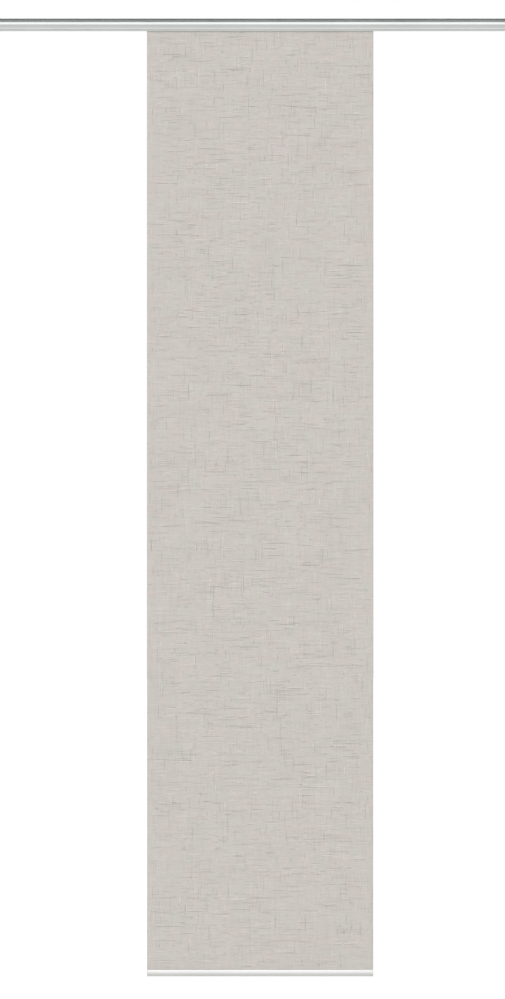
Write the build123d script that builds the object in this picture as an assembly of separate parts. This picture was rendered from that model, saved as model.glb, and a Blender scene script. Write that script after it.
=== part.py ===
from build123d import *
import os
import random
from math import cos, radians, sin

# A sliding panel curtain. An extruded track with a reeded front fascia is screwed under a ceiling.
# A carrier rail hangs from plain gliders in the track's front channel and holds a flat woven panel
# by hook and loop tape. An oval bar along the panel's foot keeps it straight.
# Millimetres. The origin is the centre of the track's top face, +X runs along the track, +Z is up,
# and the front faces -Y. Depths are measured back from the fascia's front plane, drops down from
# the ceiling plane.

# The whole curtain
panel_width = 600.0
panel_drop = 2538.0
track_length = 1600.0

# Fascia of the track, from the ceiling down
fascia_height = 33.7
flange_edge = 0.6
groove_depth = 9.0
throat_top = 5.7
throat_bottom = 6.5
bead_radius = 8.4
bead_drop = 15.25
bead_turn = 28.0
fascia_wall = 1.6
flange_wall = 1.1
crease_height = 1.2
crease_depth = 0.8
lip_height = 4.7
lip_step = 0.4
lip_thickness = 2.4
lip_turn_in = 1.6
lip_round = 0.5

# Channels of the track
channel_count = 3
channel_width = 14.4
channel_height = 9.0
channel_rib = 1.6
channel_flange = 1.4
slot_width = 6.0
top_web = 1.8

# Ceiling screw holes, with wider holes below them for the screw head and the driver
screw_count = 4
screw_end_inset = 80.0
screw_hole_r = 2.25
access_hole_r = 4.5

# End caps of the track
cap_plate = 2.0
cap_margin = 4.0
cap_drop_below = 0.8
cap_corner = 3.0
peg_length = 10.0
peg_clearance = 0.2
peg_wall = 1.8
peg_lead = 0.8

# End stops of the front channel
stop_length = 12.0
stop_height = 5.0
stop_gap = 1.0
stop_side_clearance = 0.7
stop_corner = 1.2
stop_screw_r = 1.95
stop_screw_length = 8.0
stop_screw_lead = 0.6
thread_clearance = 0.05
hex_key = 2.0
hex_depth = 2.5

# Gliders
glider_count = 5
glider_end_inset = 30.0
glider_length = 26.0
glider_width = 12.8
glider_head = 4.0
glider_crown = 1.4
glider_running_gap = 0.2
glider_neck_length = 16.0
glider_neck_width = 4.8
glider_neck_round = 2.2
glider_round = 4.0
foot_length = 20.0
foot_width = 8.8
foot_height = 2.0
foot_corner = 2.0

# Carrier rail
cloth_gap = 1.4
carrier_gap = 0.8
carrier_wall = 1.4
carrier_slot = 5.4
foot_side_clearance = 0.4
foot_depth_clearance = 0.6
carrier_plate = 1.8
carrier_rise = 1.1
tape_seat_lip = 0.6
tape_seat_height = 1.0
carrier_foot_r = 1.3
carrier_cap_plate = 2.0
carrier_plug_length = 7.0
carrier_plug_clearance = 0.15

# Hook and loop tape
tape_thickness = 1.2
tape_clearance = 0.2

# Woven panel
cloth_thickness = 0.5
cloth_top_margin = 1.0
bar_gap = 0.3
tongue_inset = 3.0
hem_rod_r = 1.85
hem_clearance = 0.05

# Slubs, the thick places in the linen yarn
weft_slubs = 250
warp_slubs = 90
slub_seed = 11
slub_width = 1.6
slub_height = 0.25
weft_slub_short = 16.0
weft_slub_long = 64.0
warp_slub_short = 14.0
warp_slub_long = 50.0
slub_fade = 0.3
slub_margin = 6.0

# Bottom bar
bar_height = 19.0
bar_thickness = 9.2
bar_wall = 1.5
bar_slot = 1.7
bar_rib = 1.4
hem_chamber_r = 2.9
hem_seat = 0.3
bar_cap_plate = 2.0
bar_plug_length = 8.0
bar_plug_clearance = 0.12

# Places worked out from the sizes above
track_depth = groove_depth + fascia_wall + channel_count * (channel_width + channel_rib)
front_y = -track_depth / 2
run_z = -(top_web + channel_height)
underside_z = run_z - channel_flange
bead_z = -bead_drop
crease_top = lip_height + crease_height / 2 - fascia_height
crease_z = crease_top - crease_height / 2
crease_bottom = crease_top - crease_height
bead_reach = bead_radius * sin(radians(bead_turn))
cove_radius = (bead_z - bead_reach - crease_top) / sin(radians(bead_turn))
cove_depth = bead_radius - (bead_radius + cove_radius) * cos(radians(bead_turn))
face_foot = cove_depth + cove_radius
lip_front = face_foot - lip_step
fascia_back = lip_front + lip_thickness
carrier_top = underside_z - carrier_gap
carrier_bottom = carrier_rise - fascia_height
foot_top = carrier_top - carrier_wall
pocket_width = foot_width + 2 * foot_side_clearance
pocket_height = foot_height + foot_depth_clearance
carrier_box_bottom = foot_top - pocket_height - carrier_wall
bar_top = bar_height - panel_drop
bar_centre_z = bar_top - bar_height / 2
hem_loop_r = hem_rod_r + hem_clearance + cloth_thickness
hem_chamber_z = bar_top - bar_wall - hem_chamber_r
hem_z = hem_chamber_z + hem_chamber_r - hem_seat - hem_loop_r
stop_outer_x = track_length / 2 - peg_length - stop_gap


# Depth of the middle of a channel, counted from the front one
def channel_depth(index):
    return groove_depth + fascia_wall + channel_width / 2 + index * (channel_width + channel_rib)


glide_depth = channel_depth(0)
screw_depth = channel_depth(channel_count // 2)
cloth_depth = fascia_back + cloth_gap + cloth_thickness / 2
loop_depth = cloth_depth + cloth_thickness / 2
hook_depth = loop_depth + tape_thickness
carrier_front = hook_depth + tape_thickness
carrier_back = glide_depth + pocket_width / 2 + carrier_wall


# A point of a cross-section, from its depth and its height, in the sketch plane of Y and Z
def at(depth, z):
    return (front_y + depth, z)


# A rectangle of a cross-section between two depths and two heights
def block(depth_a, depth_b, z_a, z_b):
    centre = at((depth_a + depth_b) / 2, (z_a + z_b) / 2)
    return Pos(*centre) * Rectangle(abs(depth_b - depth_a), abs(z_b - z_a))


# A cross-section run along X between two places
def along(section, x_a, x_b):
    return Pos(x_a, 0, 0) * extrude(Plane.YZ * section, x_b - x_a)


# A cross-section run along X, centred on the panel
def centred(section, length):
    return along(section, -length / 2, length / 2)


# Places along X, evenly spread over a length, with the outer two an inset in from its ends
def spread(count, inset, length):
    first = inset - length / 2
    pitch = -2 * first / (count - 1)
    return [first + index * pitch for index in range(count)]


# The right-hand twin of a piece made for the left end
def twin(piece):
    return mirror(piece, about=Plane.YZ)


# A point of the fascia on the bead, or on a curve at a wall's distance behind it
def on_bead(turn, behind=0.0):
    radius = bead_radius - behind
    return at(bead_radius - radius * cos(radians(turn)), bead_z - radius * sin(radians(turn)))


# A point of the hollow face below the bead, whose centre of curvature lies in front of it
def on_cove(turn, behind=0.0):
    radius = cove_radius + behind
    return at(cove_depth + radius * cos(radians(turn)), crease_top + radius * sin(radians(turn)))


# Front wall of the track: flange, groove that narrows towards its back, round bead that runs out
# into a hollow face, crease, and a lip that turns in
def fascia_section():
    back = groove_depth + fascia_wall
    bead_top = bead_z + bead_radius
    lip_foot = lip_front + lip_turn_in
    outline = [
        Polyline(
            at(back, 0),
            at(0, 0),
            at(0, -flange_edge),
            at(groove_depth, -throat_top),
            at(groove_depth, -throat_bottom),
            at(bead_radius, bead_top),
        ),
        ThreePointArc(at(bead_radius, bead_top), on_bead(0), on_bead(bead_turn)),
        ThreePointArc(on_bead(bead_turn), on_cove(bead_turn / 2), on_cove(0)),
        Polyline(on_cove(0), at(face_foot + crease_depth, crease_z), at(lip_front, crease_bottom)),
        TangentArc(at(lip_front, crease_bottom), at(lip_foot, -fascia_height), tangent=(0, -1)),
        Polyline(
            at(lip_foot, -fascia_height),
            at(fascia_back, -fascia_height),
            at(fascia_back, crease_top),
            on_cove(0, fascia_wall),
        ),
        ThreePointArc(
            on_cove(0, fascia_wall), on_cove(bead_turn / 2, fascia_wall), on_bead(bead_turn, fascia_wall)
        ),
        ThreePointArc(
            on_bead(bead_turn, fascia_wall), on_bead(0, fascia_wall), at(bead_radius, bead_top - fascia_wall)
        ),
        Polyline(at(bead_radius, bead_top - fascia_wall), at(back, bead_top - fascia_wall), at(back, 0)),
    ]
    section = make_face(Curve() + outline)
    lip_corners = section.vertices().group_by(Axis.Y)[0]
    return fillet(lip_corners, lip_round) - flange_hollow()


# Hollow of the flange, between its flat top wall and its slanting lower wall
def flange_hollow():
    slant = (throat_top - flange_edge) / groove_depth
    wall_rise = flange_wall * (1 + slant**2) ** 0.5
    tip = (flange_wall - flange_edge + wall_rise) / slant
    low = wall_rise - throat_top
    corners = [at(tip, -flange_wall), at(groove_depth, -flange_wall), at(groove_depth, low)]
    return make_face(Polyline(*corners, close=True))


# The whole extrusion: the fascia and the row of C-channels that the gliders run in
def track_section():
    section = block(groove_depth, track_depth, 0, underside_z)
    for index in range(channel_count):
        middle = channel_depth(index)
        section -= block(middle - channel_width / 2, middle + channel_width / 2, -top_web, run_z)
        section -= block(middle - slot_width / 2, middle + slot_width / 2, run_z, underside_z)
    return section + fascia_section()


# The track with its ceiling screw holes through the middle channel
def make_track():
    track = centred(track_section(), track_length)
    for x in spread(screw_count, screw_end_inset, track_length):
        web_hole = Cylinder(screw_hole_r, 2 * top_web)
        access_hole = Cylinder(access_hole_r, 2 * channel_flange)
        track -= Pos(x, front_y + screw_depth, -top_web / 2) * web_hole
        track -= Pos(x, front_y + screw_depth, run_z - channel_flange / 2) * access_hole
    return track


# Moulded cap of the track's left end: an L-shaped plate with a split peg for each channel
def make_track_cap():
    low = underside_z - cap_drop_below
    plate = block(0, carrier_back + cap_margin, 0, -fascia_height) + block(0, track_depth, 0, low)
    below = [v for v in plate.vertices() if v.Y < low + cap_drop_below / 2]
    plate = fillet(below, cap_corner)
    end_x = -track_length / 2
    cap = along(plate, end_x - cap_plate, end_x)
    for index in range(channel_count):
        half = channel_width / 2 - peg_clearance
        middle = channel_depth(index)
        top = -top_web - peg_clearance
        bottom = run_z + peg_clearance
        tube = block(middle - half, middle + half, top, bottom)
        tube -= block(middle - half + peg_wall, middle + half - peg_wall, top, bottom + peg_wall)
        peg = along(tube, end_x, end_x + peg_length)
        tips = peg.faces().sort_by(Axis.X)[-1].edges().filter_by(Axis.Z)
        outer_tips = [e for e in tips if abs(e.center().Y - front_y - middle) > half - peg_wall / 2]
        cap += chamfer(outer_tips, peg_lead)
    return cap


# Stop block that closes the front channel at the left, drilled for its set screw
def make_end_stop():
    half = channel_width / 2 - stop_side_clearance
    width = 2 * half
    base = RectangleRounded(stop_length, width, stop_corner)
    stop = extrude(Pos(0, 0, run_z) * base, stop_height)
    stop -= Pos(0, 0, run_z + stop_height / 2) * Cylinder(stop_screw_r + thread_clearance, 2 * stop_height)
    return Pos(stop_length / 2 - stop_outer_x, front_y + glide_depth, 0) * stop


# Set screw that presses up against the web and wedges the stop in the channel
def make_stop_screw():
    low = -top_web - stop_screw_length
    screw = extrude(Pos(0, 0, low) * Circle(stop_screw_r), stop_screw_length)
    screw = chamfer(screw.edges().filter_by(GeomType.CIRCLE), stop_screw_lead)
    socket = RegularPolygon(hex_key / 2, 6, major_radius=False)
    screw -= extrude(Pos(0, 0, low) * socket, hex_depth)
    return Pos(stop_length / 2 - stop_outer_x, front_y + glide_depth, 0) * screw


# Glider: a crowned head that runs on the channel's flanges, a neck through the slot, and a foot
# that hooks under the lips of the carrier rail
def make_glider(x):
    low = run_z + glider_running_gap
    half = glider_length / 2
    side = Polyline((half, low + glider_head), (half, low), (-half, low), (-half, low + glider_head))
    crown = ThreePointArc(
        (-half, low + glider_head), (0, low + glider_head + glider_crown), (half, low + glider_head)
    )
    profile = Plane.XZ * make_face(Curve() + [side, crown])
    head = extrude(profile, glider_width / 2, both=True)
    head = fillet(head.edges().filter_by(Axis.Z), glider_round)
    neck = Pos(0, 0, (low + foot_top) / 2) * Box(glider_neck_length, glider_neck_width, low - foot_top)
    neck = fillet(neck.edges().filter_by(Axis.Z), glider_neck_round)
    foot = Pos(0, 0, foot_top - foot_height / 2) * Box(foot_length, foot_width, foot_height)
    foot = chamfer(foot.edges().filter_by(Axis.Z), foot_corner)
    return Pos(x, front_y + glide_depth, 0) * (head + neck + foot)


# Carrier rail: a T-slot along the top for the gliders' feet and a flat plate that holds the tape
def carrier_section():
    section = block(carrier_front, carrier_back, carrier_top, carrier_box_bottom)
    section += block(carrier_front, carrier_front + carrier_plate, carrier_top, carrier_bottom)
    lip_depth = carrier_front - tape_seat_lip
    section += block(lip_depth, carrier_front, carrier_top, carrier_top - tape_seat_height)
    section += block(lip_depth, carrier_front, carrier_bottom + tape_seat_height, carrier_bottom)
    foot_centre = at(carrier_front + carrier_plate, carrier_bottom + carrier_foot_r)
    section += Pos(*foot_centre) * Circle(carrier_foot_r)
    half = pocket_width / 2
    pocket_bottom = foot_top - pocket_height
    section -= block(glide_depth - half, glide_depth + half, foot_top, pocket_bottom)
    section -= block(glide_depth - carrier_slot / 2, glide_depth + carrier_slot / 2, carrier_top, foot_top)
    return section


# Cap of the carrier rail's left end, with a plug in the T-slot
def make_carrier_cap():
    plate = block(carrier_front - tape_seat_lip, carrier_back, carrier_top, carrier_box_bottom)
    rear = carrier_front + carrier_plate + carrier_foot_r
    plate += block(carrier_front - tape_seat_lip, rear, carrier_top, carrier_bottom)
    half = pocket_width / 2 - carrier_plug_clearance
    high = foot_top - carrier_plug_clearance
    low = foot_top - pocket_height + carrier_plug_clearance
    plug = block(glide_depth - half, glide_depth + half, high, low)
    outer_x = -panel_width / 2
    inner_x = outer_x + carrier_cap_plate
    cap = along(plate, outer_x, inner_x)
    cap = fillet(cap.edges().filter_by(Axis.X), carrier_wall / 2)
    return cap + along(plug, inner_x, inner_x + carrier_plug_length)


# One layer of hook and loop tape, between the rims of the carrier rail's plate
def make_tape(depth):
    high = carrier_top - tape_seat_height - tape_clearance
    low = carrier_bottom + tape_seat_height + tape_clearance
    length = panel_width - 2 * carrier_cap_plate
    return centred(block(depth, depth + tape_thickness, high, low), length)


# A slub lying along X about its own middle: a low hipped ridge that fades out at both ends
def slub(length):
    fade = slub_fade * length
    crest = slub_width / 2
    on_its_back = (Align.CENTER, Align.MIN, Align.CENTER)
    ridge = Wedge(length, slub_height, slub_width, fade, crest, length - fade, crest, align=on_its_back)
    return Rot(0, 0, 180) * ridge


# The slubs of the weave, scattered over the part of the cloth that shows
def make_slubs():
    chance = random.Random(slub_seed)
    front = front_y + cloth_depth - cloth_thickness / 2
    high = -fascia_height - slub_margin
    low = bar_top + slub_margin
    ridges = []
    for index in range(weft_slubs + warp_slubs):
        lies_across = index < weft_slubs
        short = weft_slub_short if lies_across else warp_slub_short
        long = weft_slub_long if lies_across else warp_slub_long
        length = short + (long - short) * chance.random() ** 2
        reach_x = length / 2 if lies_across else slub_width / 2
        reach_z = slub_width / 2 if lies_across else length / 2
        span_x = panel_width / 2 - slub_margin - reach_x
        x = chance.uniform(-span_x, span_x)
        z = chance.uniform(low + reach_z, high - reach_z)
        turn = 0 if lies_across else 90
        ridges.append(Pos(x, front, z) * Rot(0, turn, 0) * slub(length))
    return ridges


# The woven panel: a flat cloth whose foot is a narrower tongue with a hem loop round the rod
def make_cloth():
    front = cloth_depth - cloth_thickness / 2
    back = cloth_depth + cloth_thickness / 2
    foot = bar_top + bar_gap
    sheet = centred(block(front, back, carrier_top - cloth_top_margin, foot), panel_width)
    ring = Pos(*at(cloth_depth, hem_z)) * Circle(hem_loop_r)
    tongue = block(front, back, foot, hem_z) + ring
    tongue -= Pos(*at(cloth_depth, hem_z)) * Circle(hem_rod_r + hem_clearance)
    cloth = sheet + centred(tongue, panel_width - 2 * tongue_inset)
    return cloth.fuse(*make_slubs())


# Rod in the hem loop, which keeps the cloth from pulling out of the bar
def make_hem_rod():
    rod = Pos(*at(cloth_depth, hem_z)) * Circle(hem_rod_r)
    return centred(rod, panel_width - 2 * tongue_inset)


# Outline of the bottom bar, an upright oval, drawn in by a margin
def bar_oval(margin=0.0):
    oval = Ellipse(bar_thickness / 2 - margin, bar_height / 2 - margin)
    return Pos(*at(cloth_depth, bar_centre_z)) * oval


# Lower hollow of the bar, under the rib that closes the hem chamber, drawn in by a margin
def bar_hollow(margin=0.0):
    ceiling = hem_chamber_z - hem_chamber_r - bar_rib - margin
    keep = block(cloth_depth - bar_thickness, cloth_depth + bar_thickness, ceiling, -panel_drop)
    return bar_oval(bar_wall + margin) & keep


# Bottom bar: an oval extrusion with a slot and a round chamber for the hem, and a hollow below
def make_bottom_bar():
    section = bar_oval() - bar_hollow()
    section -= Pos(*at(cloth_depth, hem_chamber_z)) * Circle(hem_chamber_r)
    half = bar_slot / 2
    section -= block(cloth_depth - half, cloth_depth + half, bar_top, hem_chamber_z)
    return centred(section, panel_width - 2 * bar_cap_plate)


# Cap of the bar's left end, with a plug in the lower hollow
def make_bar_cap():
    outer_x = -panel_width / 2
    inner_x = outer_x + bar_cap_plate
    cap = along(bar_oval(), outer_x, inner_x)
    return cap + along(bar_hollow(bar_plug_clearance), inner_x, inner_x + bar_plug_length)


# Every piece by its name
def make_pieces():
    track_cap = make_track_cap()
    end_stop = make_end_stop()
    stop_screw = make_stop_screw()
    carrier_cap = make_carrier_cap()
    bar_cap = make_bar_cap()
    pieces = {
        "track": make_track(),
        "track_cap_left": track_cap,
        "track_cap_right": twin(track_cap),
        "end_stop_left": end_stop,
        "end_stop_right": twin(end_stop),
        "stop_screw_left": stop_screw,
        "stop_screw_right": twin(stop_screw),
        "carrier_rail": centred(carrier_section(), panel_width - 2 * carrier_cap_plate),
        "carrier_cap_left": carrier_cap,
        "carrier_cap_right": twin(carrier_cap),
        "hook_tape": make_tape(hook_depth),
        "loop_tape": make_tape(loop_depth),
        "fabric_panel": make_cloth(),
        "hem_rod": make_hem_rod(),
        "bottom_bar": make_bottom_bar(),
        "bar_cap_left": bar_cap,
        "bar_cap_right": twin(bar_cap),
    }
    for index, x in enumerate(spread(glider_count, glider_end_inset, panel_width)):
        pieces[f"glider_{index + 1}"] = make_glider(x)
    return pieces


os.makedirs("parts", exist_ok=True)
for name, piece in make_pieces().items():
    export_step(piece, f"parts/{name}.step")
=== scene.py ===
import random
from functools import partial

import bpy
import numpy as np
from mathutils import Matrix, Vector


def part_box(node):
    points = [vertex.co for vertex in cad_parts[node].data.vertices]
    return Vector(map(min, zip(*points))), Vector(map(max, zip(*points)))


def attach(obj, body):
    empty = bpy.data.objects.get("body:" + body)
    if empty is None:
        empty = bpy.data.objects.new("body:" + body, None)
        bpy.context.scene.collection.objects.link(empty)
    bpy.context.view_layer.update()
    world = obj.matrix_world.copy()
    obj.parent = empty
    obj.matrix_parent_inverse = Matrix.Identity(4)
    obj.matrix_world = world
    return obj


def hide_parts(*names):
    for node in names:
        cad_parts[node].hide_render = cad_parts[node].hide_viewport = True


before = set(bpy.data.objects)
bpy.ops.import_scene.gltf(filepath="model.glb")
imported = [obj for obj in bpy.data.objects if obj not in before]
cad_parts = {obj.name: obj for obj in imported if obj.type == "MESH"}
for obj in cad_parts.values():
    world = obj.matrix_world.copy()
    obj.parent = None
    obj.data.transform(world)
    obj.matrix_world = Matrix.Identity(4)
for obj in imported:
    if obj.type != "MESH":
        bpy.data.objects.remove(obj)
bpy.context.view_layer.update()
mm = 0.001
white = (1.0, 1.0, 1.0, 1.0)
panelBody = "sliding_panel"
print("frame:", len(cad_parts), "pieces from the model")


# The photo is a straight front elevation with no visible perspective: a long lens far away.
# The rows and columns below are pixels of the 505 x 999 photo.
cameraFacts = {
    "pictureWide": 505,
    "pictureHigh": 999,
    "mmPerPixel": 2.649,
    "panelMiddleColumn": 260.2,
    "ceilingRow": 18.47,
    "lensMm": 200.0,
    "sensorMm": 36.0,
    "clipDistances": 4.0,  # how far the camera sees, in its own distances from the panel
}


def makeCamera(facts=cameraFacts):
    pixel = facts["mmPerPixel"] * mm
    data = bpy.data.cameras.new("camera")
    data.lens = facts["lensMm"]
    data.sensor_width = facts["sensorMm"]
    # Distance is picture height times focal length over sensor size
    distance = facts["pictureHigh"] * pixel * facts["lensMm"] / facts["sensorMm"]
    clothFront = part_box("fabric_panel")[0].y
    camera = bpy.data.objects.new("camera", data)
    camera.location = (
        (facts["pictureWide"] / 2 - facts["panelMiddleColumn"]) * pixel,
        clothFront - distance,
        (facts["ceilingRow"] - facts["pictureHigh"] / 2) * pixel,
    )
    data.clip_end = facts["clipDistances"] * distance
    camera.rotation_euler = Vector((0, 1, 0)).to_track_quat("-Z", "Z").to_euler()
    bpy.context.scene.collection.objects.link(camera)
    bpy.context.scene.camera = camera


makeCamera()
print("camera placed")


# Tools for materials

noiseSpan = (0.3, 0.7)  # noise keeps mostly between these two


# sRGB hex to linear light: a straight line at the dark end, a power of 2.4 above it
def linear(hexColour):
    channels = np.array([int(hexColour[i:i + 2], 16) for i in (1, 3, 5)]) / 255
    curve = ((channels + 0.055) / 1.055) ** 2.4
    return (*np.where(channels <= 0.04045, channels / 12.92, curve).tolist(), 1.0)


# Adds a node and gives one of its outputs. Its inputs are a list in their order or a dictionary by
# name or number: an output of another node is linked, any other value is set. Settings are the
# node's own properties.
def addNode(tree, kind, inputs=(), output=0, **settings):
    made = tree.nodes.new("ShaderNode" + kind)
    for name, value in settings.items():
        setattr(made, name, value)
    for key, value in inputs.items() if isinstance(inputs, dict) else enumerate(inputs):
        if isinstance(value, bpy.types.NodeSocket):
            tree.links.new(value, made.inputs[key])
        else:
            made.inputs[key].default_value = value
    return made.outputs[output]


# A material with a Principled shader whose constant sockets are set, the function that adds nodes
# to it, and the Object coordinates
def startMaterial(name, sockets):
    material = bpy.data.materials.new(name)
    material.use_nodes = True
    add = partial(addNode, material.node_tree)
    shader = material.node_tree.nodes["Principled BSDF"]
    for key, value in sockets.items():
        shader.inputs[key].default_value = value
    return material, add, shader, add("TexCoord", output="Object")


# Links outputs to the shader's sockets by name
def linkShader(shader, outputs):
    for name, output in outputs.items():
        shader.id_data.links.new(output, shader.inputs[name])


# Noise drawn out along an axis: sizes are the real lengths of a grain in millimetres along X, Y, Z
def grain(add, place, sizesMm, detail=2.0, roughness=0.5):
    scale = tuple(1 / (size * mm) for size in sizesMm)
    stretched = add("VectorMath", [place, scale], operation="MULTIPLY")
    inputs = {"Vector": stretched, "Scale": 1.0, "Detail": detail, "Roughness": roughness}
    return add("TexNoise", inputs)


# A hard surface: a tone from 0 to 1 blends its two colours, and a height of some millimetres
# gives its bump. A Mix node takes the tone at 0 and the colours at 6 and 7, and blends them at 2.
def finishShader(add, shader, tone, darker, lighter, roughness, height, depthMm):
    colours = {0: tone, 6: linear(darker), 7: linear(lighter)}
    colour = add("Mix", colours, output=2, data_type="RGBA")
    bump = add("Bump", {"Strength": 1.0, "Distance": depthMm * mm, "Height": height})
    linkShader(shader, {"Base Color": colour, "Roughness": roughness, "Normal": bump})


# Extruded aluminium, anodised or as it leaves the mill: satin grey, with faint lines that the die
# leaves along its length
aluminiumFacts = {
    "lineMm": 0.7,  # real die lines are 0.05 to 0.2 mm apart, drawn coarser so that they show
    "lineLengthMm": 900.0,
    "lineDepthMm": 0.01,
    "lineShare": 0.6,
    "cloudMm": 160.0,
    "cloudShare": 0.4,
}


def extrudedAluminium(name, darker, lighter, roughLow, roughHigh, facts=aluminiumFacts):
    material, add, shader, place = startMaterial(name, {"Metallic": 1.0})
    line = facts["lineMm"]
    lines = grain(add, place, (facts["lineLengthMm"], line, line), detail=3.0, roughness=0.65)
    clouds = grain(add, place, (facts["cloudMm"],) * 3, detail=1.0)
    mixed = add("Math", [lines, facts["lineShare"]], operation="MULTIPLY")
    mixed = add("Math", [clouds, facts["cloudShare"], mixed], operation="MULTIPLY_ADD")
    tone = add("MapRange", [mixed, *noiseSpan, 0.0, 1.0])
    rough = add("MapRange", [lines, *noiseSpan, roughLow, roughHigh])
    finishShader(add, shader, tone, darker, lighter, rough, lines, facts["lineDepthMm"])
    return material


# Moulded or extruded plastic: one even colour with the fine matt grain of a spark-eroded mould
plasticFacts = {"flowMm": 9.0, "roughSpread": 0.06}


def mouldedPlastic(name, darker, lighter, roughness, grainMm=0.5, depthMm=0.02, facts=plasticFacts):
    material, add, shader, place = startMaterial(name, {"IOR": 1.5})
    fine = grain(add, place, (grainMm,) * 3)
    flow = grain(add, place, (facts["flowMm"],) * 3, detail=1.0)
    tone = add("MapRange", [flow, *noiseSpan, 0.0, 1.0])
    spread = facts["roughSpread"]
    rough = add("MapRange", [fine, *noiseSpan, roughness - spread, roughness + spread])
    finishShader(add, shader, tone, darker, lighter, rough, fine, depthMm)
    return material


# Zinc-plated steel: bright bluish grey with a slightly uneven bath finish
zincFacts = {
    "darker": "#9A9DA3",
    "lighter": "#C3C7CC",
    "roughness": (0.2, 0.38),
    "bathMm": 0.8,
    "depthMm": 0.01,
}


def zincPlate(name, facts=zincFacts):
    material, add, shader, place = startMaterial(name, {"Metallic": 1.0})
    bath = grain(add, place, (facts["bathMm"],) * 3, detail=3.0)
    tone = add("MapRange", [bath, *noiseSpan, 0.0, 1.0])
    rough = add("MapRange", [bath, *noiseSpan, *facts["roughness"]])
    darker, lighter = facts["darker"], facts["lighter"]
    finishShader(add, shader, tone, darker, lighter, rough, bath, facts["depthMm"])
    return material


# Woven nylon tape whose face is a pile of hooks or of loops: matt, with a sheen, and glossier at
# the tips. Its colour is painted lighter at the tips and darker in the ground between them: painted
# highlight and painted shade that follow the pile's height
pileFacts = {
    "scatter": 0.35,  # how far the tips stand off a square grid, from 0 to 1
    "tipReach": (0.1, 0.6),  # distances from a tip, in pitches, between which it turns to ground
    "roughness": (0.6, 0.9),
}


def pileTape(name, darker, lighter, pitchMm, depthMm, facts=pileFacts):
    sockets = {"Sheen Weight": 0.3, "Sheen Roughness": 0.5, "IOR": 1.53}
    material, add, shader, place = startMaterial(name, sockets)
    pitch = {"Vector": place, "Scale": 1 / (pitchMm * mm), "Randomness": facts["scatter"]}
    tips = add("TexVoronoi", pitch, feature="F1")
    near, far = facts["tipReach"]
    # Painted highlight at the tips and painted shade in the ground between them, following the
    # pile's height
    tone = add("MapRange", [tips, near, far, 1.0, 0.0])
    rough = add("MapRange", [tips, near, far, *facts["roughness"]])
    height = add("MapRange", [tips, 0.0, far, 1.0, 0.0])
    finishShader(add, shader, tone, darker, lighter, rough, height, depthMm)
    return material


# Linen-look polyester weave: matt greige, plain weave, with short thick places in the yarn that
# read as fine light and dark dashes, many along the weft and fewer along the warp
linenFacts = {
    # The yarn is a melange that drifts between a pinkish and a greenish greige
    "warmColour": "#CEC6C3",
    "coolColour": "#CAC8C1",
    "driftMm": 30.0,
    "threadMm": 0.9,  # real threads are about 0.4 mm apart, drawn coarser so that they show
    "threadDepthMm": 0.16,
    # Painted light and shade of the weave: lighter on the crests of the threads, darker where they
    # dive
    "weaveReliefShade": 0.16,
    "diveHeight": 0.5,  # height of a thread where it dives under another, 1 is on top
    "meanHeight": 0.62,  # of all the arches, so that the weave's painted light and shade leave the mean alone
    "dashes": [
        # yarn of the dash, its length, its width in threads, share of light and of dark dashes
        ("weft", 18.0, 1, 0.10, 0.10),
        ("weft", 47.0, 1, 0.10, 0.10),
        ("weft", 11.0, 2, 0.06, 0.06),
        ("warp", 27.0, 1, 0.07, 0.07),
        ("warp", 60.0, 1, 0.05, 0.05),
        ("weft", 260.0, 1, 0.02, 0.02),
    ],
    "dashSalt": 31.0,  # a whole number, so that it moves the draws and not the rows
    "dashTone": 0.085,
    "dashHeight": 0.25,
    "slubTone": 0.36,
    "cloudMm": 60.0,
    "cloudTone": 0.012,
}


# Tone of one family of dashes, from -1 to 1. The cloth is ruled into rows one yarn wide, each row
# into pieces one dash long from a random start, and each piece draws a random number: the lowest
# share of the draws is dark, the highest is light, and the rest is 0.
def dashTone(add, along, across, lengthMm, widthMm, lightShare, darkShare, salt):
    ruled = add("Math", [across, 1 / (widthMm * mm), salt], operation="MULTIPLY_ADD")
    row = add("Math", [ruled], operation="FLOOR")
    start = add("TexWhiteNoise", {"W": row}, noise_dimensions="1D")
    run = add("Math", [along, 1 / (lengthMm * mm), start], operation="MULTIPLY_ADD")
    piece = add("CombineXYZ", [add("Math", [run], operation="FLOOR"), row, salt])
    draw = add("TexWhiteNoise", {"Vector": piece}, noise_dimensions="3D")
    light = add("Math", [draw, 1 - lightShare], operation="GREATER_THAN")
    dark = add("Math", [draw, darkShare], operation="LESS_THAN")
    return add("Math", [light, dark], operation="SUBTRACT")


# The first value where the switch is 0 and the second where it is 1
def chooseBy(add, switch, first, second):
    step = add("Math", [second, first], operation="SUBTRACT")
    return add("Math", [switch, step, first], operation="MULTIPLY_ADD")


# Height of a yarn from the sines across it and along it: an arch, rounded off by a square root,
# that sinks to its dive height where the thread dives under the next one
def yarnArch(add, across, along, dive):
    rise = add("Math", [along, 1 - dive, dive], operation="MULTIPLY_ADD")
    root = add("Math", [across], operation="SQRT")
    return add("Math", [root, rise], operation="MULTIPLY")


# Height of the weave, and a switch that is 1 where the warp lies on top. Plain weave: along each
# direction the threads are the arches of a sine, and the sign of the two sines' product says
# which yarn lies on top.
def plainWeave(add, across, up, facts=linenFacts):
    turn = np.pi / (facts["threadMm"] * mm)
    waves = []
    for way in (up, across):
        angle = add("Math", [way, turn], operation="MULTIPLY")
        waves.append(add("Math", [angle], operation="SINE"))
    product = add("Math", waves, operation="MULTIPLY")
    warpOver = add("Math", [product, 0.0], operation="GREATER_THAN")
    weft, warp = (add("Math", [wave], operation="ABSOLUTE") for wave in waves)
    weftArch = yarnArch(add, weft, warp, facts["diveHeight"])
    warpArch = yarnArch(add, warp, weft, facts["diveHeight"])
    return chooseBy(add, warpOver, weftArch, warpArch), warpOver


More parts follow.
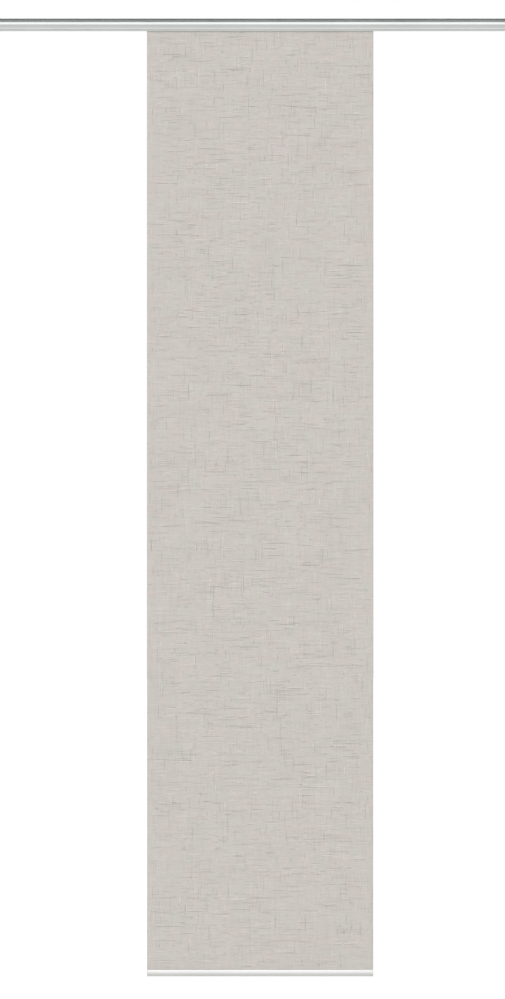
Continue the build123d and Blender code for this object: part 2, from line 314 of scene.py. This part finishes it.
def linenWeave(name, facts=linenFacts):
    sockets = {
        "Roughness": 0.85,
        "Specular IOR Level": 0.25,
        "Sheen Weight": 0.08,
        "Sheen Roughness": 0.5,
    }
    material, add, shader, place = startMaterial(name, sockets)
    across, up = (add("SeparateXYZ", [place], output=axis) for axis in "XZ")
    weave, warpOver = plainWeave(add, across, up)
    # Dashes show only where their own yarn lies on top
    dashes = {"weft": 0.0, "warp": 0.0}
    for index, (axis, length, threads, light, dark) in enumerate(facts["dashes"]):
        along, other = (across, up) if axis == "weft" else (up, across)
        width = threads * facts["threadMm"]
        salt = facts["dashSalt"] * (index + 1)
        tone = dashTone(add, along, other, length, width, light, dark, salt)
        dashes[axis] = add("Math", [tone, dashes[axis]], operation="ADD")
    dash = chooseBy(add, warpOver, dashes["weft"], dashes["warp"])
    slub = add("Attribute", output="Fac", attribute_name="yarnTone")
    clouds = grain(add, place, (facts["cloudMm"],) * 3)
    clouds = add("MapRange", [clouds, *noiseSpan, -1.0, 1.0])
    # Painted light and shade: the weave's height, less its mean, makes the crests lighter and the
    # dives darker
    relief = add("Math", [weave, facts["meanHeight"]], operation="SUBTRACT")
    # Brightness is 1 and each tone times its own strength
    bright = 1.0
    tones = {"dashTone": dash, "slubTone": slub, "cloudTone": clouds, "weaveReliefShade": relief}
    for strength, tone in tones.items():
        bright = add("Math", [tone, facts[strength], bright], operation="MULTIPLY_ADD")
    drift = grain(add, place, (facts["driftMm"],) * 3, detail=3.0)
    drift = add("MapRange", [drift, *noiseSpan, 0.0, 1.0])
    colours = {0: drift, 6: linear(facts["warmColour"]), 7: linear(facts["coolColour"])}
    yarn = add("Mix", colours, output=2, data_type="RGBA")
    colour = add("VectorMath", {0: yarn, "Scale": bright}, operation="SCALE")
    height = add("Math", [dash, facts["dashHeight"], weave], operation="MULTIPLY_ADD")
    depth = facts["threadDepthMm"] * mm
    bump = add("Bump", {"Strength": 1.0, "Distance": depth, "Height": height})
    linkShader(shader, {"Base Color": colour, "Normal": bump})
    return material


# Each finish gets its real name, its darker and its lighter colour, and its roughness, which on
# aluminium has a lowest and a highest value
finishes = {
    "track": extrudedAluminium("satinAnodisedTrack", "#B4B7B6", "#BEC1C0", 0.30, 0.40),
    "trackCap": mouldedPlastic("mouldedGreyNylon", "#9EA1A2", "#A6A9AA", 0.5),
    "stop": mouldedPlastic("mouldedOffWhiteNylon", "#D6D5D0", "#DEDDD8", 0.42),
    "screw": zincPlate("zincPlatedSteel"),
    "carrier": extrudedAluminium("millFinishAluminium", "#BCC0C0", "#CDD1D1", 0.26, 0.40),
    "carrierCap": mouldedPlastic("mouldedLightGrey", "#CDCECC", "#D4D5D3", 0.45),
    "glider": mouldedPlastic(
        "mouldedWhiteAcetal", "#ECECE8", "#F3F3EF", 0.32, grainMm=0.7, depthMm=0.012
    ),
    "hook": pileTape("nylonHookTape", "#C9C9C4", "#E6E6E1", pitchMm=1.4, depthMm=0.35),
    "loop": pileTape("nylonLoopTape", "#C6C4BC", "#DDDBD4", pitchMm=0.9, depthMm=0.25),
    "linen": linenWeave("linenLookWeave"),
    "rod": mouldedPlastic("extrudedRod", "#D9D9D4", "#DFDFDA", 0.4),
    "bar": extrudedAluminium("satinAnodisedBar", "#BEBEBD", "#C6C6C5", 0.40, 0.50),
    "barCap": mouldedPlastic("mouldedBarGrey", "#C9CAC9", "#D0D1D0", 0.45),
}
# Start of a node's name, and its finish
finishOfNode = {
    "track": "track",
    "track_cap": "trackCap",
    "end_stop": "stop",
    "stop_screw": "screw",
    "carrier_rail": "carrier",
    "carrier_cap": "carrierCap",
    "glider": "glider",
    "hook_tape": "hook",
    "loop_tape": "loop",
    "fabric_panel": "linen",
    "hem_rod": "rod",
    "bottom_bar": "bar",
    "bar_cap": "barCap",
}


# A node takes the finish whose name is the longest start of its own
def dressNodes():
    for name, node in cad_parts.items():
        key = max((k for k in finishOfNode if name.startswith(k)), key=len)
        node.data.materials.clear()
        node.data.materials.append(finishes[finishOfNode[key]])


dressNodes()
print("materials on the pieces of the model")


# Tools for surfaces

# Puts points and faces into a mesh object and gives it one material
def buildPiece(name, points, faces, material, smooth=True):
    mesh = bpy.data.meshes.new(name)
    mesh.from_pydata(points.tolist(), [], faces if isinstance(faces, list) else faces.tolist())
    mesh.polygons.foreach_set("use_smooth", np.full(len(mesh.polygons), smooth))
    mesh.materials.append(material)
    mesh.validate()
    piece = bpy.data.objects.new(name, mesh)
    bpy.context.scene.collection.objects.link(piece)
    return piece


# Quads of a grid of rows and columns, joined round at the ends that are closed
def gridQuads(rows, columns, closedRows=False, closedColumns=False):
    index = np.arange(rows * columns).reshape(rows, columns)
    if closedRows:
        index = np.vstack([index, index[:1]])
    if closedColumns:
        index = np.hstack([index, index[:, :1]])
    corners = [index[:-1, :-1], index[1:, :-1], index[1:, 1:], index[:-1, 1:]]
    return np.stack([c.ravel() for c in corners], axis=1)


# Tone of the yarn at each point, from -1, darkest, to 1, lightest, for the weave to read
def setYarnTone(piece, tones):
    attribute = piece.data.attributes.new("yarnTone", "FLOAT", "POINT")
    attribute.data.foreach_set("value", np.asarray(tones, np.float32))


# The woven panel. It hangs almost flat: the bar pulls it straight, and only a slow wave is left.
clothFacts = {
    "thickMm": 0.5,
    "waveMm": 0.45,
    # The wave's sines: weight, turn in radians a metre across and a metre up, phase
    "waves": [(1.0, 7.1, 1.3, 0.6), (0.7, -4.4, 3.2, 2.1), (0.4, 12.0, -2.0, 0.0)],
    "waveFade": 0.6,  # the lower, the sooner the wave is full below the track and above the bar
    "columns": 61,
    "rowMm": 7.0,
    "edgePoints": 4,
    "tongueInsetMm": 3.0,
    "shoulderMm": (0.3, 1.3),  # above the bar, where the tongue widens to the whole width
    "loopWallMm": 0.5,
    "loopGapMm": 0.05,  # between the loop and its rod
    "loopTurns": 24,
}
clothLow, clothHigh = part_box("fabric_panel")
barLow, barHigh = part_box("bottom_bar")
rodLow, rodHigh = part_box("hem_rod")
tapeLow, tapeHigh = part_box("loop_tape")
trackLow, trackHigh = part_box("track")
clothMiddleY = tapeLow.y - clothFacts["thickMm"] / 2 * mm


# How far the cloth's middle layer stands off its plane: slow sines in both directions, which
# fade out at the track above and at the bar below
def clothWave(x, z, facts=clothFacts):
    top, foot = trackLow.z, barHigh.z
    part = np.clip((top - z) / (top - foot), 0, 1)
    fade = np.sin(np.pi * part) ** facts["waveFade"]
    waves = facts["waves"]
    slow = sum(weight * np.sin(across * x + up * z + phase) for weight, across, up, phase in waves)
    return facts["waveMm"] * mm * fade * slow / sum(wave[0] for wave in waves)


# A thin slab: its cross-section is a flat strip with round edges, carried down a straight path.
# Along the section, the angle of the edge's half circle gives the place across the thickness.
def makeClothSlab(facts=clothFacts):
    half = facts["thickMm"] / 2 * mm
    foot = rodHigh.z + facts["loopWallMm"] / 2 * mm
    shoulder = barHigh.z + np.array(facts["shoulderMm"]) * mm
    steps = int((clothHigh.z - foot) / (facts["rowMm"] * mm))
    z = np.linspace(clothHigh.z, foot, steps)
    z = np.unique(np.concatenate([z, shoulder]))[::-1]
    span = np.linspace(-1, 1, facts["columns"])
    turn = np.linspace(-np.pi / 2, np.pi / 2, facts["edgePoints"])
    # Section, anticlockwise seen from above: front from left to right, right edge, back, left edge
    inner, edge = span[1:-1], np.ones(len(turn))
    share = np.concatenate([inner, edge, inner[::-1], -edge])
    bulge = np.concatenate([0 * inner, np.cos(turn), 0 * inner, -np.cos(turn)])
    deep = np.concatenate([0 * inner - 1, np.sin(turn), 0 * inner + 1, -np.sin(turn)])
    inset = np.where(z < shoulder.mean(), facts["tongueInsetMm"] * mm, 0)
    width = (clothHigh.x - half - inset)[:, None]
    x = width * share[None, :] + half * bulge[None, :]
    zGrid = np.broadcast_to(z[:, None], x.shape)
    y = clothMiddleY + clothWave(x, zGrid) + half * deep[None, :]
    points = np.stack([x, y, zGrid], axis=-1)
    rows, columns = x.shape
    faces = gridQuads(rows, columns, closedColumns=True).tolist()
    first = np.arange(columns)
    faces += [first.tolist(), (first[::-1] + (rows - 1) * columns).tolist()]
    return points.reshape(-1, 3), faces


# The hem loop round the rod: a pipe along X, as a ring of angles times its four corners
def makeHemLoop(facts=clothFacts):
    middle = (rodLow + rodHigh) / 2
    inner = (rodHigh.z - rodLow.z) / 2 + facts["loopGapMm"] * mm
    outer = inner + facts["loopWallMm"] * mm
    turn = np.linspace(0, 2 * np.pi, facts["loopTurns"], endpoint=False)[:, None]
    radius = np.array([outer, outer, inner, inner])[None, :]
    x = np.array([rodLow.x, rodHigh.x, rodHigh.x, rodLow.x])[None, :] + 0 * turn
    y, z = middle.y + radius * np.cos(turn), middle.z + radius * np.sin(turn)
    faces = gridQuads(*x.shape, closedRows=True, closedColumns=True)
    return np.stack([x, y, z], axis=-1).reshape(-1, 3), faces


# The slab and the hem loop in one mesh
def makeCloth():
    slabPoints, slabFaces = makeClothSlab()
    loopPoints, loopFaces = makeHemLoop()
    points = np.concatenate([slabPoints, loopPoints])
    faces = slabFaces + (loopFaces + len(slabPoints)).tolist()
    cloth = buildPiece("linen_panel", points, faces, finishes["linen"])
    setYarnTone(cloth, np.zeros(len(points)))
    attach(cloth, panelBody)
    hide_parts("fabric_panel")
    return cloth


cloth = makeCloth()
print("cloth made")


# Slubs, the thick places in the linen yarn. The coarse ones are those of the model, drawn in the
# same order from the same seed. Finer ones are scattered between them.
slubFacts = {
    "marginMm": 6.0,
    "fineMarginMm": 0.8,
    "headMm": 6.0,  # how far the fine ones reach up behind the track's lip
    "fade": 0.3,  # share of the length that thins out at each end
    "tip": 0.25,  # width and height left at the very end
    "tipTone": 0.3,  # tone left there
    "darkShare": 0.5,
    "toneSpan": (0.35, 0.95),
    "coarseSeed": 11,
    "coarseWidthMm": 1.6,
    "coarseHeightMm": 0.25,
    "coarseSunkMm": 0.2,
    "coarseHalf": (0.5, 0.25),  # half the width at the foot and at the crest, in widths
    "coarseTone": 0.65,
    "fineSeed": 5,
    "fineWidthMm": (0.7, 1.3),
    "fineHeightMm": (0.06, 0.16),
    "fineHalf": 0.4,
    # Depth of a fine slub's foot, as shares of the cloth's thickness, of that again and of the
    # slub's height, these two times its fullness
    "fineDepth": (0.9, 0.1, 0.7),
    "pairShare": 0.4,
    "pairMm": (2.0, 2.9),  # between the middles of the two in a pair
    "pairLength": (0.6, 1.0),  # of the second one, in lengths of the first
    "pairLightAndShade": -0.8,  # of the second one, in tones of the first: a painted shadow beside a light slub and a painted highlight beside a dark one
    # How many of each there are, and their lengths
    "weft": {"coarse": 250, "coarseMm": (16.0, 64.0), "fine": 5600, "fineMm": (10.0, 75.0)},
    "warp": {"coarse": 90, "coarseMm": (14.0, 50.0), "fine": 2100, "fineMm": (10.0, 60.0)},
}


# How far a slub reaches from its middle along X and along Z
def slubReach(axis, length, width):
    return (length / 2, width / 2) if axis == "weft" else (width / 2, length / 2)


# Tones from -1 to 1: the given share of the slubs is darker than the cloth, the rest lighter
def drawTones(chance, count, facts=slubFacts):
    dark = chance.random(count) < facts["darkShare"]
    span = facts["toneSpan"]
    return np.where(dark, -chance.uniform(*span, count), chance.uniform(*span, count))


# Rows of length, width, height, x, z and tone of the coarse slubs, by the direction of their yarn
def coarseSlubs(facts=slubFacts):
    chance = random.Random(facts["coarseSeed"])
    toneChance = np.random.default_rng(facts["coarseSeed"])
    width, margin = facts["coarseWidthMm"], facts["marginMm"]
    high = trackLow.z / mm - margin
    low = barHigh.z / mm + margin
    rows = {"weft": [], "warp": []}
    for axis in rows:
        short, long = facts[axis]["coarseMm"]
        for _ in range(facts[axis]["coarse"]):
            length = short + (long - short) * chance.random() ** 2
            reachX, reachZ = slubReach(axis, length, width)
            spanX = clothHigh.x / mm - margin - reachX
            x = chance.uniform(-spanX, spanX)
            z = chance.uniform(low + reachZ, high - reachZ)
            rows[axis].append((length, width, facts["coarseHeightMm"], x, z, 0.0))
        rows[axis] = np.array(rows[axis])
        rows[axis][:, 5] = facts["coarseTone"] * drawTones(toneChance, len(rows[axis]), facts)
    return rows


# The same rows for the fine slubs, most of them short. A share of them lie in pairs, with a yarn or
# two between them: the second is a real ridge too, and its tone, the opposite of the first's, is
# painted light and shade, a painted shadow beside a light slub and a painted highlight beside a
# dark one.
def fineSlubs(axis, chance, facts=slubFacts):
    count = facts[axis]["fine"]
    short, long = facts[axis]["fineMm"]
    length = short + (long - short) * chance.random(count) ** 2
    width = chance.uniform(*facts["fineWidthMm"], count)
    height = chance.uniform(*facts["fineHeightMm"], count)
    reachX, reachZ = slubReach(axis, length, width)
    spanX = clothHigh.x / mm - facts["fineMarginMm"] - reachX
    x = chance.uniform(-1, 1, count) * spanX
    low = barHigh.z / mm + facts["fineMarginMm"] + reachZ
    high = trackLow.z / mm + facts["headMm"] - reachZ
    z = low + chance.random(count) * (high - low)
    rows = np.stack([length, width, height, x, z, drawTones(chance, count, facts)], axis=1)
    pairs = int(facts["pairShare"] * count / 2)
    twins = rows[:pairs].copy()
    shift = chance.uniform(*facts["pairMm"], pairs) * chance.choice([-1, 1], pairs)
    twins[:, 4 if axis == "weft" else 3] += shift
    twins[:, 0] *= chance.uniform(*facts["pairLength"], pairs)
    # Painted light and shade: the second of a pair takes the opposite tone of the first
    twins[:, 5] *= facts["pairLightAndShade"]
    rows[pairs:2 * pairs] = twins
    return rows


# Each slub is a low ridge with a flat crest that thins out and loses its tone towards both ends.
# It has four stations along the yarn with four points each: foot, crest, crest, foot. The foot of
# a coarse slub is sunk into the cloth, a fine one goes through it and stands out at the back too.
def slubRidges(rows, axis, facts=slubFacts):
    length, width, height, x, z = (rows[:, i][:, None, None] * mm for i in range(5))
    coarse = rows[:, 2][:, None, None] >= facts["coarseHeightMm"]
    thick = clothFacts["thickMm"] * mm
    fade, tip = facts["fade"], facts["tip"]
    station = np.array([-0.5, fade - 0.5, 0.5 - fade, 0.5])[None, :, None]
    full = np.array([tip, 1.0, 1.0, tip])[None, :, None]
    side = np.array([-1.0, -1.0, 1.0, 1.0])[None, None, :]
    crest = np.array([0.0, 1.0, 1.0, 0.0])[None, None, :]
    footHalf, crestHalf = facts["coarseHalf"]
    half = np.where(coarse, footHalf + (crestHalf - footHalf) * crest, facts["fineHalf"])
    along = length * station + 0 * side
    across = width * half * side * full
    if axis == "weft":
        xGrid, zGrid = x + along, z + across
    else:
        xGrid, zGrid = x + across, z - along
    front = clothMiddleY + clothWave(xGrid, zGrid) - thick / 2
    through, outThick, outHeight = facts["fineDepth"]
    fineDepth = through * thick + full * (outThick * thick + outHeight * height)
    depth = np.where(coarse, facts["coarseSunkMm"] * mm, fineDepth)
    rise = crest * full * height - (1 - crest) * depth
    points = np.stack([xGrid, front - rise, zGrid], axis=-1).reshape(-1, 3)
    tones = rows[:, 5][:, None, None] * np.where(full < 1.0, facts["tipTone"], 1.0) + 0 * side
    stations, corners = station.size, side.size
    ring = np.arange(corners)
    ends = [ring, ring[::-1] + corners * (stations - 1)]
    one = np.concatenate([gridQuads(stations, corners, closedColumns=True), ends])
    start = stations * corners * np.arange(len(rows))[:, None, None]
    return points, (one[None] + start).reshape(-1, corners), tones.ravel()


def makeSlubs(facts=slubFacts):
    coarse = coarseSlubs(facts)
    chance = np.random.default_rng(facts["fineSeed"])
    pieces = []
    for axis in ("weft", "warp"):
        rows = np.concatenate([coarse[axis], fineSlubs(axis, chance, facts)])
        points, faces, tones = slubRidges(rows, axis, facts)
        slubs = buildPiece(axis + "_slubs", points, faces, finishes["linen"])
        setYarnTone(slubs, tones)
        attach(slubs, panelBody)
        pieces.append(slubs)
    return pieces


slubs = makeSlubs()
print("slubs made")


# Floor and light. Suns with wide discs give the even light of a studio with large softboxes. The
# camera, and with it metal, sees the backdrop white, and the floor a little lifted.
studioFacts = {
    "floorBelowBarMm": 180.0,
    "floorSize": 60.0,
    "floorColour": "#E9E8E6",
    "floorLift": 0.34,
    "ambient": 0.56,
    "suns": [
        # name, direction it shines along, strength, width of its disc in degrees
        ("keyLight", (0.2, 1.0, -0.76), 1.2, 80),
        ("topLight", (0.1, 0.45, -1.0), 0.25, 60),
        ("bounceLight", (-0.2, 1.0, 0.4), 0.4, 60),
        ("backLight", (0.3, -1.0, -0.8), 0.7, 70),
    ],
}


# 1 for the camera's rays, straight or by way of metal or glass, and 0 for all others
def seenRays(add):
    names = ("Is Camera Ray", "Is Glossy Ray", "Is Transmission Ray")
    straight, mirrored, through = (add("LightPath", output=name) for name in names)
    seen = add("Math", [straight, mirrored], operation="MAXIMUM")
    return add("Math", [seen, through], operation="MAXIMUM")


def makeFloor(facts=studioFacts):
    sockets = {
        "Base Color": linear(facts["floorColour"]),
        "Roughness": 0.95,
        "Specular IOR Level": 0.1,
        "Emission Color": white,
    }
    material, add, shader, _ = startMaterial("paperFloor", sockets)
    lift = add("Math", [seenRays(add), facts["floorLift"]], operation="MULTIPLY")
    linkShader(shader, {"Emission Strength": lift})
    low = barLow.z - facts["floorBelowBarMm"] * mm
    square = np.array([(-1, -1, 0), (1, -1, 0), (1, 1, 0), (-1, 1, 0)])
    corners = square * facts["floorSize"] / 2 + (0, 0, low)
    floor = buildPiece("floor", corners, [[0, 1, 2, 3]], material, smooth=False)


def makeWorld(facts=studioFacts):
    world = bpy.data.worlds.new("studio")
    bpy.context.scene.world = world
    world.use_nodes = True
    add = partial(addNode, world.node_tree)
    backdrop = world.node_tree.nodes["Background"]
    backdrop.inputs["Color"].default_value = white
    level = add("MapRange", [seenRays(add), 0.0, 1.0, facts["ambient"], 1.0])
    linkShader(backdrop, {"Strength": level})


def makeSuns(facts=studioFacts):
    for name, direction, strength, width in facts["suns"]:
        data = bpy.data.lights.new(name, "SUN")
        data.energy = strength
        data.angle = np.radians(width)
        sun = bpy.data.objects.new(name, data)
        sun.rotation_euler = Vector(direction).to_track_quat("-Z", "Y").to_euler()
        bpy.context.scene.collection.objects.link(sun)


makeFloor()
makeWorld()
makeSuns()
bpy.context.scene.view_settings.view_transform = "Standard"
print("floor and light set")
